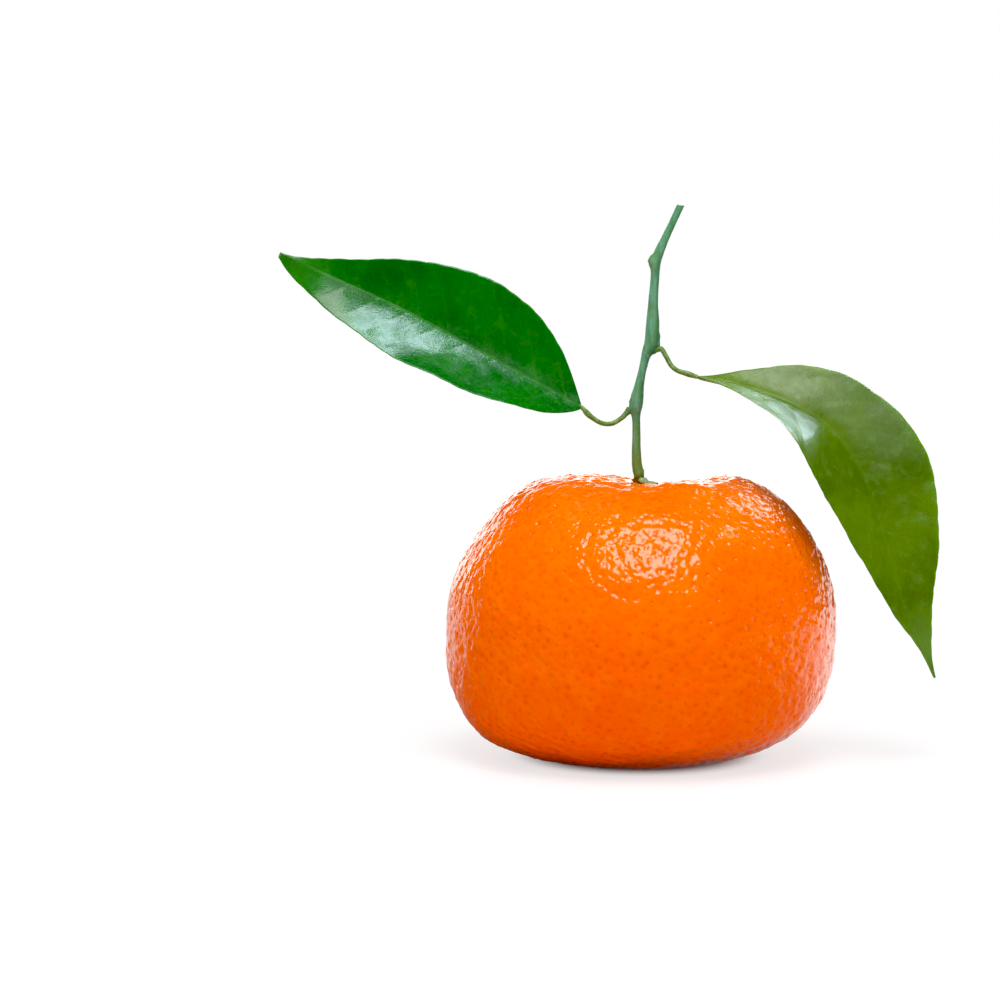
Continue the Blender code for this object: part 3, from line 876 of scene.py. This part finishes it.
def rind_material():
    s = Shader("rind_skin")
    gland = s.mark("gland")
    low = s.mark("lowness")
    patches = s.between(s.noise(0.019, 3, 0.55), 0.36, 0.66)
    colour = s.mix(patches, (0.93, 0.140, 0.0015), (0.96, 0.170, 0.002))
    colour = s.mix(s.calc("MULTIPLY", low, 0.75), colour, (0.91, 0.105, 0.001))
    mottle = s.between(s.noise(0.0032, 3, 0.6), 0.4, 0.68)
    colour = s.mix(s.calc("MULTIPLY", mottle, 0.14), colour, (0.99, 0.27, 0.006))
    minor = s.cells(0.00105)
    minor_dot = s.between(minor, 0.10, 0.34, 1, 0)
    colour = s.mix(s.calc("MULTIPLY", minor_dot, 0.16), colour, (0.74, 0.075, 0.001))
    dot = s.between(gland, 0.16, 0.52, 1, 0)
    strength = s.between(s.noise(0.006, 2, 0.5), 0.35, 0.65, 0.18, 0.34)
    colour = s.mix(s.calc("MULTIPLY", dot, strength), colour, (0.66, 0.055, 0.001))
    crown = s.mark("crown")
    colour = s.mix(s.calc("MULTIPLY", crown, 0.35), colour, (0.93, 0.34, 0.03))
    blemish = s.mark("blemish")
    corky = s.mix(s.between(blemish, 0.40, 0.75), (0.62, 0.20, 0.035), (0.88, 0.36, 0.12))
    colour = s.mix(s.between(blemish, 0.85, 1.2, 0.6, 0), colour, corky)
    colour = s.mix(s.between(s.mark("blossom"), 0.3, 0.9, 0, 0.85), colour, (0.16, 0.055, 0.012))
    rough = s.between(s.noise(0.0011, 3, 0.6), 0.3, 0.7, 0.30, 0.44)
    rough = s.calc("ADD", rough, s.calc("MULTIPLY", dot, 0.12))
    grain = s.noise(0.00042, 3, 0.6)
    skin = s.bump(grain, 0.000022)
    skin = s.bump(s.between(minor, 0.0, 0.55), 0.000075, before=skin)
    skin = s.bump(s.between(gland, 0.0, 0.6), 0.000045, before=skin)
    return s.finish(
        Base_Color=colour,
        Roughness=rough,
        Normal=skin,
        Coat_Normal=skin,
        Subsurface_Weight=0.22,
        Subsurface_Radius=(1.0, 0.30, 0.06),
        Subsurface_Scale=0.0022,
        Coat_Weight=0.85,
        Coat_Roughness=0.07,
        Specular_IOR_Level=0.08,
        IOR=1.42,
    )


def leaf_material(name, dark, fresh, pale, vein_colour, under, roughness):
    s = Shader(name)
    vein, rib, edge = s.mark("vein"), s.mark("rib"), s.mark("edge")
    along, below = s.mark("along"), s.mark("underside")
    broad = s.between(s.noise(0.011, 3, 0.55), 0.36, 0.66)
    colour = s.mix(broad, dark, fresh)
    mottle = s.between(s.noise(0.0021, 4, 0.65), 0.48, 0.72)
    colour = s.mix(s.calc("MULTIPLY", mottle, 0.34), colour, pale)
    spots = s.between(s.noise(0.0065, 2, 0.5), 0.60, 0.78)
    colour = s.mix(s.calc("MULTIPLY", spots, 0.40), colour, pale)
    # Paler towards the tip: the leaves' own lighter tips, and on the light leaf also a painted soft
    # highlight
    tip = s.between(along, 0.78, 0.98)
    colour = s.mix(s.calc("MULTIPLY", tip, 0.6), colour, pale)
    net = s.between(s.cells(0.0011, "DISTANCE_TO_EDGE"), 0.02, 0.14, 1, 0)
    colour = s.mix(s.calc("MULTIPLY", net, 0.07), colour, vein_colour)
    colour = s.mix(s.calc("MULTIPLY", vein, 0.12), colour, vein_colour)
    colour = s.mix(s.calc("MULTIPLY", rib, 0.34), colour, vein_colour)
    glands = s.between(s.cells(0.00075), 0.06, 0.22, 1, 0)
    colour = s.mix(s.calc("MULTIPLY", glands, 0.16), colour, pale)
    back = s.mix(s.between(s.noise(0.003, 3, 0.6), 0.35, 0.7, 0, 0.4), under, pale)
    back = s.mix(s.calc("MULTIPLY", vein, 0.6), back, vein_colour)
    back = s.mix(s.calc("MULTIPLY", rib, 0.8), back, vein_colour)
    colour = s.mix(below, colour, back)
    rim = s.between(edge, 0.975, 0.998)
    colour = s.mix(s.calc("MULTIPLY", rim, 0.5), colour, vein_colour)
    rough = s.between(s.noise(0.0016, 3, 0.6), 0.3, 0.7, roughness - 0.05, roughness + 0.07)
    rough = s.calc("ADD", rough, s.calc("MULTIPLY", below, 0.2))
    skin = s.bump(s.noise(0.0005, 3, 0.6), 0.000010)
    skin = s.bump(net, 0.000005, before=skin)
    skin = s.bump(s.noise(0.0028, 2, 0.5), 0.000025, before=skin)
    return s.finish(
        Base_Color=colour,
        Roughness=rough,
        Normal=skin,
        Subsurface_Weight=0.18,
        Subsurface_Radius=(0.5, 1.0, 0.15),
        Subsurface_Scale=0.0006,
        Specular_IOR_Level=0.5,
        IOR=1.45,
    )


def bark_material():
    s = Shader("green_bark_skin")
    along = s.mark("along")
    streak = s.between(s.noise(0.0009, 3, 0.6, s.stretched((1, 1, 0.16))), 0.35, 0.68)
    colour = s.mix(streak, (0.078, 0.250, 0.125), (0.165, 0.375, 0.240))
    patch = s.between(s.noise(0.0042, 3, 0.6), 0.42, 0.68)
    colour = s.mix(s.calc("MULTIPLY", patch, 0.5), colour, (0.12, 0.24, 0.05))
    # Painted shade: darker green on the twig's shaded side
    colour = s.mix(s.calc("MULTIPLY", s.mark("painted_shade"), 0.85), colour, (0.018, 0.120, 0.030))
    colour = s.mix(s.between(along, 0.78, 0.95, 0, 0.45), colour, (0.050, 0.230, 0.075))
    low = s.between(along, 0.02, 0.28, 1, 0)
    colour = s.mix(s.calc("MULTIPLY", low, 0.75), colour, (0.14, 0.235, 0.035))
    lenticel = s.between(s.cells(0.0011, "F1", s.stretched((1, 1, 0.6))), 0.07, 0.2, 1, 0)
    colour = s.mix(s.calc("MULTIPLY", lenticel, 0.38), colour, (0.33, 0.38, 0.20))
    colour = s.mix(s.between(s.mark("scar"), 0.35, 0.85, 0, 0.75), colour, (0.27, 0.17, 0.075))
    cut = s.mark("cut")
    wood = s.mix(s.between(cut, 0.85, 1.05), (0.42, 0.46, 0.20), (0.62, 0.58, 0.36))
    colour = s.mix(s.between(cut, 0.3, 0.55), colour, wood)
    rough = s.between(s.noise(0.0008, 3, 0.6), 0.3, 0.7, 0.40, 0.58)
    skin = s.bump(s.noise(0.00032, 3, 0.6), 0.00003)
    skin = s.bump(streak, 0.00004, before=skin)
    return s.finish(
        Base_Color=colour,
        Roughness=rough,
        Normal=skin,
        Subsurface_Weight=0.08,
        Subsurface_Radius=(0.5, 1.0, 0.2),
        Subsurface_Scale=0.0005,
    )


def stalk_material():
    s = Shader("stalk_skin")
    along = s.mark("along")
    streak = s.between(s.noise(0.0007, 3, 0.6), 0.35, 0.68)
    colour = s.mix(streak, (0.090, 0.190, 0.030), (0.18, 0.31, 0.08))
    colour = s.mix(s.between(s.mark("groove"), 0.2, 1.0, 0, 0.4), colour, (0.06, 0.13, 0.03))
    ends = s.between(along, 0.80, 0.90, 0, 0.55)
    colour = s.mix(ends, colour, (0.26, 0.30, 0.09))
    foot = s.between(along, 0.05, 0.2, 0.6, 0)
    colour = s.mix(foot, colour, (0.06, 0.17, 0.045))
    rough = s.between(s.noise(0.0006, 3, 0.6), 0.3, 0.7, 0.42, 0.58)
    skin = s.bump(s.noise(0.0003, 3, 0.6), 0.00002)
    return s.finish(Base_Color=colour, Roughness=rough, Normal=skin)


def calyx_material():
    s = Shader("calyx_skin_dry")
    reach, rib = s.mark("reach"), s.mark("rib")
    patch = s.between(s.noise(0.0006, 3, 0.6), 0.38, 0.66)
    colour = s.mix(patch, (0.13, 0.24, 0.09), (0.36, 0.42, 0.24))
    dry = s.between(s.noise(0.0011, 3, 0.65), 0.54, 0.70)
    colour = s.mix(s.calc("MULTIPLY", dry, 0.55), colour, (0.24, 0.15, 0.06))
    colour = s.mix(s.between(reach, 0.82, 1.0, 0, 0.6), colour, (0.27, 0.15, 0.05))
    colour = s.mix(s.calc("MULTIPLY", rib, 0.4), colour, (0.36, 0.38, 0.16))
    skin = s.bump(s.noise(0.0002, 4, 0.65), 0.00005)
    rough = s.between(s.noise(0.0004, 2, 0.5), 0.3, 0.7, 0.6, 0.8)
    return s.finish(Base_Color=colour, Roughness=rough, Normal=skin)


# Stage

ROOM_LIGHT = 0.74
WHITE = (1, 1, 1, 1)
FLOOR_HALF = 4.0
FLOOR_GAP = 0.00005  # keeps the floor from showing through the rest spot
BLACK_LEVEL = 0.022  # gives the picture the photo's strong contrast
CAMERA_ELEVATION = math.radians(5)
CAMERA_DISTANCE = 0.5
CAMERA_VIEW = 0.170  # width of what it sees, at the fruit
CAMERA_SENSOR = 36
CAMERA_TARGET = (0.0369, 0.0436)  # from the left end and the foot of the object's box

# Softboxes, seen from the fruit's middle. "at" is elevation and azimuth from the front, in degrees.
# "lights" names the nodes whose pieces a lamp lights, and the key, which has none, lights all.
# "sheen" is for a lamp that shows only in reflections.
FRUIT_MIDDLE = (0, 0, 0.025)
COOL = (0.90, 0.96, 1)
FRUIT = ("fruit", "calyx")
GREENS = ("twig", "petiole_left", "petiole_right", "leaf_left", "leaf_right")
LAMPS = {
    "key": {"at": (69, 4), "distance": 0.95, "size": (0.42, 0.66), "power": 7.0},
    "side": {"at": (40, 142), "size": (0.30, 0.30), "power": 1.4, "tint": COOL, "lights": FRUIT},
    "side_right": {
        "at": (69, 82),
        "size": (0.52, 0.26),
        "power": 7.0,
        "tint": (0.70, 0.80, 1),
        "lights": ("leaf_left",),
        "sheen": True,
    },
    "back_right": {
        "at": (40, 142),
        "size": (0.44, 0.36),
        "power": 12,
        "tint": (0.68, 0.84, 1),
        "lights": ("leaf_right",),
    },
    "front_fill": {"at": (40, 20), "size": (0.50, 0.40), "power": 1.3, "tint": COOL, "lights": GREENS},
    "back_left": {"at": (24, -150), "size": (0.5, 0.4), "power": 1.2, "tint": COOL, "lights": GREENS},
}
LAMP_DISTANCE = 1.1  # of every lamp that doesn't say


def floor_material():
    """White, and glowing away from the fruit, so that the floor fades into the backdrop.

    The camera sees the glow come close to the fruit, bounced light gets it from further off, and
    reflections have it only behind the fruit and at its sides.
    """
    s = Shader("studio_floor")
    s.finish(Base_Color=(0.93, 0.93, 0.93, 1), Roughness=0.55)
    plain = s.skin.outputs[0]
    glow = s.add("Emission", {"Color": WHITE, "Strength": 1.02})
    away = s.add("VectorMath", {0: s.place}, output="Value", operation="LENGTH")
    near = s.between(away, 0.0135, 0.0225, 0, 0.70)
    far = s.between(away, 0.07, 0.30, 0, 0.30)
    seen = s.add("MixShader", {0: s.calc("ADD", near, far), 1: plain, 2: glow})
    lighting = s.between(away, 0.027, 0.062, 0, 0.78)
    lit = s.add("MixShader", {0: lighting, 1: plain, 2: glow})

    x, y, _ = s.parts(s.place)
    leftness = s.calc("MAXIMUM", s.calc("MULTIPLY", x, -1.0), 0.0)
    rightness = s.calc("MAXIMUM", x, 0.0)
    behind = s.calc("SUBTRACT", y, s.calc("MULTIPLY", leftness, 0.6))
    behind = s.calc("ADD", behind, s.calc("MULTIPLY", rightness, 0.25))
    strength = s.between(behind, -0.03, 0.05, 0.02, 1.0)
    strength = s.calc("MULTIPLY", strength, s.between(x, -0.02, 0.03, 1, 1.35))
    mirrored = s.add("Emission", {"Color": WHITE, "Strength": strength})
    surface = s.split("Is Glossy Ray", s.split("Is Camera Ray", lit, seen), mirrored)
    s.set(s.tree.nodes["Material Output"].inputs["Surface"], surface)
    return s.material


def make_floor():
    mesh = bpy.data.meshes.new("studio_floor")
    corners = [(x * FLOOR_HALF, y * FLOOR_HALF, 0) for x, y in ((-1, -1), (1, -1), (1, 1), (-1, 1))]
    mesh.from_pydata(corners, [], [(0, 1, 2, 3)])
    mesh.materials.append(floor_material())
    floor = bpy.data.objects.new("studio_floor", mesh)
    floor.location.z = CAD_BOX[0].z - FLOOR_GAP
    bpy.context.scene.collection.objects.link(floor)


def make_world():
    """White behind everything. Reflections see it only low down behind the fruit."""
    world = bpy.data.worlds.new("studio")
    bpy.context.scene.world = world
    world.use_nodes = True
    w = Nodes(world.node_tree, "Generated")
    room = w.tree.nodes["Background"]
    w.set(room.inputs["Color"], (0.93, 0.96, 1.0, 1))
    w.set(room.inputs["Strength"], ROOM_LIGHT)

    x, y, z = w.parts(w.place)
    behind = w.between(w.calc("MULTIPLY_ADD", x, -0.2, y), 0.90, 0.95, 0.0, 2.4)
    low = w.between(z, 0.30, 0.42, 1.0, 0.0)
    strength = w.calc("MAXIMUM", w.calc("MULTIPLY", behind, low), 0.05)
    mirrored = w.add("Background", {"Color": WHITE, "Strength": strength})
    backdrop = w.add("Background", {"Color": WHITE})
    surface = w.split("Is Glossy Ray", room.outputs[0], mirrored)
    surface = w.split("Is Camera Ray", surface, backdrop)
    w.set(w.tree.nodes["World Output"].inputs["Surface"], surface)


def make_lamp(name, lamp, pieces):
    """One of the softboxes above."""
    data = bpy.data.lights.new(name, "AREA")
    data.shape = "RECTANGLE"
    data.size, data.size_y = lamp["size"]
    data.energy = lamp["power"]
    data.color = lamp.get("tint", (1, 1, 1))
    made = bpy.data.objects.new(name, data)
    up, turn = np.radians(lamp["at"])
    way = Vector((math.sin(turn) * math.cos(up), -math.cos(turn) * math.cos(up), math.sin(up)))
    made.location = Vector(FRUIT_MIDDLE) + way * lamp.get("distance", LAMP_DISTANCE)
    made.rotation_euler = way.to_track_quat("Z", "Y").to_euler()
    made.visible_camera = False
    made.visible_diffuse = not lamp.get("sheen", False)
    if "lights" in lamp:
        lit = bpy.data.collections.new("lit_by_" + name)
        for piece, node, _ in pieces:
            if node in lamp["lights"]:
                lit.objects.link(piece)
        made.light_linking.receiver_collection = lit
    bpy.context.scene.collection.objects.link(made)


def make_camera():
    """A long lens at the photo's low angle."""
    data = bpy.data.cameras.new("camera")
    data.sensor_width = CAMERA_SENSOR
    data.lens = CAMERA_SENSOR * CAMERA_DISTANCE / CAMERA_VIEW
    data.clip_start = 0.01
    data.clip_end = 50
    camera = bpy.data.objects.new("camera", data)
    low, _ = CAD_BOX
    right, up = CAMERA_TARGET
    target = Vector((low.x + right, 0, low.z + up))
    way = Vector((0, -math.cos(CAMERA_ELEVATION), math.sin(CAMERA_ELEVATION)))
    camera.location = target + CAMERA_DISTANCE * way
    camera.rotation_euler = (math.pi / 2 - CAMERA_ELEVATION, 0, 0)
    bpy.context.scene.collection.objects.link(camera)
    bpy.context.scene.camera = camera


def main():
    dark_leaf = leaf_material(
        "dark_leaf_skin",
        dark=(0.0050, 0.108, 0.006),
        fresh=(0.009, 0.150, 0.008),
        pale=(0.045, 0.220, 0.018),
        vein_colour=(0.070, 0.225, 0.042),
        under=(0.11, 0.20, 0.055),
        roughness=0.22,
    )
    light_leaf = leaf_material(
        "light_leaf_skin",
        dark=(0.066, 0.124, 0.001),
        fresh=(0.100, 0.176, 0.001),
        # this bluish pale also makes the painted soft highlight at the leaf's tip
        pale=(0.130, 0.250, 0.050),
        vein_colour=(0.11, 0.21, 0.025),
        under=(0.14, 0.22, 0.06),
        roughness=0.33,
    )
    stalk = stalk_material()
    pieces = [
        (make_fruit(rind_material()), "fruit", "rind"),
        (make_calyx(calyx_material()), "calyx", "calyx_skin"),
        (make_twig(bark_material()), "twig", "green_bark"),
        (make_petiole("petiole_left", PETIOLE_LEFT_ROUTE, stalk), "petiole_left", "stalk"),
        (make_petiole("petiole_right", PETIOLE_RIGHT_ROUTE, stalk), "petiole_right", "stalk"),
        (make_leaf("leaf_left", LEAF_LEFT, dark_leaf, 21), "leaf_left", "dark_leaf"),
        (make_leaf("leaf_right", LEAF_RIGHT, light_leaf, 31), "leaf_right", "light_leaf"),
    ]
    for piece, node, slot in pieces:
        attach(piece, "root")
        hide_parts(node)
    make_floor()
    make_world()
    for name, lamp in LAMPS.items():
        make_lamp(name, lamp, pieces)
    make_camera()
    views = bpy.context.scene.view_settings
    views.view_transform = "Standard"
    views.use_curve_mapping = True
    views.curve_mapping.black_level = (BLACK_LEVEL,) * 3
    views.curve_mapping.update()


main()
